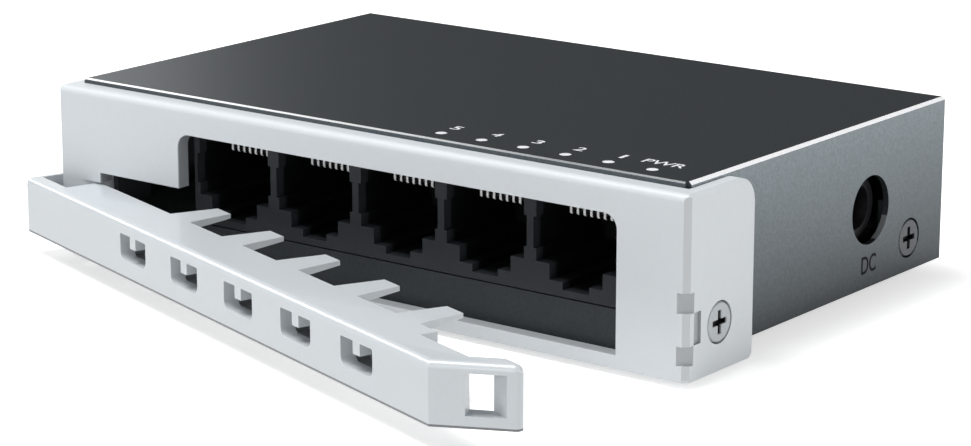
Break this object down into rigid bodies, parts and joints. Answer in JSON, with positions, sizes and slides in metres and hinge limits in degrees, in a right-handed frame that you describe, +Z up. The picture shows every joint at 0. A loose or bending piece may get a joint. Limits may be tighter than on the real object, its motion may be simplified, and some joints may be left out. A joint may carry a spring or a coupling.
{
  "type": "ethernet switch",
  "caption": "Desktop network switch with a dark metal case, a light front frame round a row of sockets, and a hinged bar that swings across them to lock the plugs in.",
  "frame": {"origin": "on the table, under the middle of the front frame's front face", "axes": "+X to the right along the front, +Y to the back, +Z up"},
  "size_m": [0.1075, 0.1004, 0.0246],
  "materials": {
    "white_plastic": "fine satin moulded",
    "white_plastic_bar": "fine satin moulded",
    "steel": "plain",
    "dark_metal": "dark brushed coating, bright cut edges",
    "dark_metal_tray": "dark brushed coating",
    "green_board": "green solder mask with traces",
    "black_plastic": "satin",
    "gold_wire": "plated",
    "clear_guide": "clear, frosted ends",
    "led_body": "milky",
    "jack_plastic": "satin",
    "chip_plastic": "matt",
    "sink_metal": "anodised",
    "can_metal": "satin",
    "choke_plastic": "ferrite grey",
    "screw_finish": "light coating",
    "case_screw_finish": "nickel",
    "foot_rubber": "matt"
  },
  "bodies": {
    "housing": {"front_collar": "white_plastic", "hinge_pin": "steel", "top_cover": "dark_metal", "base_tray": "dark_metal_tray", "circuit_board": "green_board", "board_standoffs": "steel", "board_screws": "steel", "port_block": "black_plastic", "port_contacts_1": "gold_wire", "port_contacts_2": "gold_wire", "port_contacts_3": "gold_wire", "port_contacts_4": "gold_wire", "port_contacts_5": "gold_wire", "light_guide": "clear_guide", "status_leds": "led_body", "dc_jack": "jack_plastic", "dc_jack_pin": "steel", "switch_chip": "chip_plastic", "heat_sink": "sink_metal", "line_transformers": "chip_plastic", "input_capacitor": "can_metal", "output_capacitor": "can_metal", "power_inductor": "choke_plastic", "regulator_chip": "chip_plastic", "memory_chip": "chip_plastic", "clock_crystal": "can_metal", "collar_screw_right": "screw_finish", "collar_screw_left": "screw_finish", "case_screw_right": "case_screw_finish", "case_screw_left": "case_screw_finish", "foot_front_left": "foot_rubber", "foot_front_right": "foot_rubber", "foot_rear_left": "foot_rubber", "foot_rear_right": "foot_rubber"},
    "bar": {"lock_bar": "white_plastic_bar"}
  },
  "joints": [
    {"name": "lock_bar_hinge", "type": "hinge", "parent": "housing", "child": "bar", "pos_m": [-0.0482, 0.0035, 0.0042], "axis": [0, 0, 1], "range_deg": [-25, 18.9]}
  ]
}
